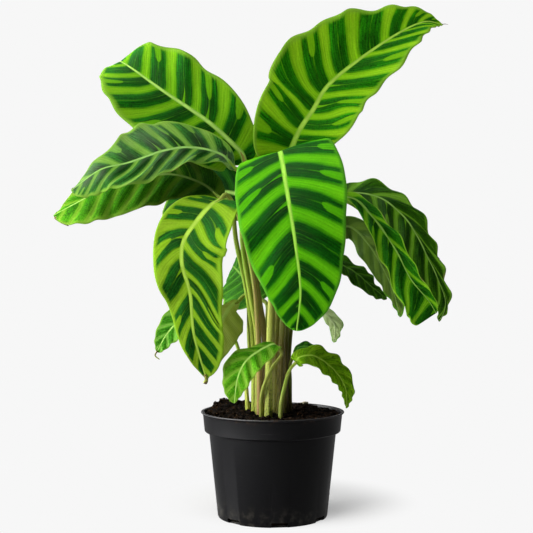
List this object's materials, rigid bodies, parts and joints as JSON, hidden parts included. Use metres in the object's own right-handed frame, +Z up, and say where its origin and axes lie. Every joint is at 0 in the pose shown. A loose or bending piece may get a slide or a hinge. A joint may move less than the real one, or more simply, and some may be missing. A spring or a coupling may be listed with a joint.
{
  "type": "potted calathea",
  "caption": "Zebra plant with broad pointed blades in dark and light green stripes, on sheathed stalks that rise from soil in a plain black nursery pot.",
  "frame": {"origin": "centre of the flat underside of the pot, on the surface that it stands on", "axes": "+Z up, the long way of the plant; the picture's front faces -Y, with +X to its right"},
  "size_m": [0.4656, 0.2435, 0.6168],
  "materials": {
    "pot_plastic": "satin",
    "potting_mix": "rough",
    "bark": "matt",
    "leaf_stalk": "satin",
    "blade_striped": "satin",
    "blade_dark": "satin",
    "blade_olive": "matt",
    "blade_pale": "matt"
  },
  "bodies": {
    "root": {"pot": "pot_plastic", "soil": "potting_mix", "bark_scrap": "bark", "upper_right_stalk": "leaf_stalk", "upper_right_blade": "blade_striped", "front_stalk": "leaf_stalk", "front_blade": "blade_striped", "upper_left_stalk": "leaf_stalk", "upper_left_blade": "blade_striped", "left_arching_stalk": "leaf_stalk", "left_arching_blade": "blade_striped", "left_lower_stalk": "leaf_stalk", "left_lower_blade": "blade_striped", "front_left_stalk": "leaf_stalk", "front_left_blade": "blade_striped", "low_left_small_stalk": "leaf_stalk", "low_left_small_blade": "blade_striped", "back_left_stalk": "leaf_stalk", "back_left_blade": "blade_dark", "front_left_underside_stalk": "leaf_stalk", "front_left_underside_blade": "blade_olive", "small_front_stalk": "leaf_stalk", "small_front_blade": "blade_striped", "outer_right_stalk": "leaf_stalk", "outer_right_blade": "blade_dark", "front_right_stalk": "leaf_stalk", "front_right_blade": "blade_striped", "right_underside_stalk": "leaf_stalk", "right_underside_blade": "blade_olive", "right_back_stalk": "leaf_stalk", "right_back_blade": "blade_dark", "back_small_stalk": "leaf_stalk", "back_small_blade": "blade_pale", "small_right_stalk": "leaf_stalk", "small_right_blade": "blade_dark", "right_low_edge_stalk": "leaf_stalk", "right_low_edge_blade": "blade_dark", "left_back_stalk": "leaf_stalk", "left_back_blade": "blade_dark"}
  },
  "joints": []
}
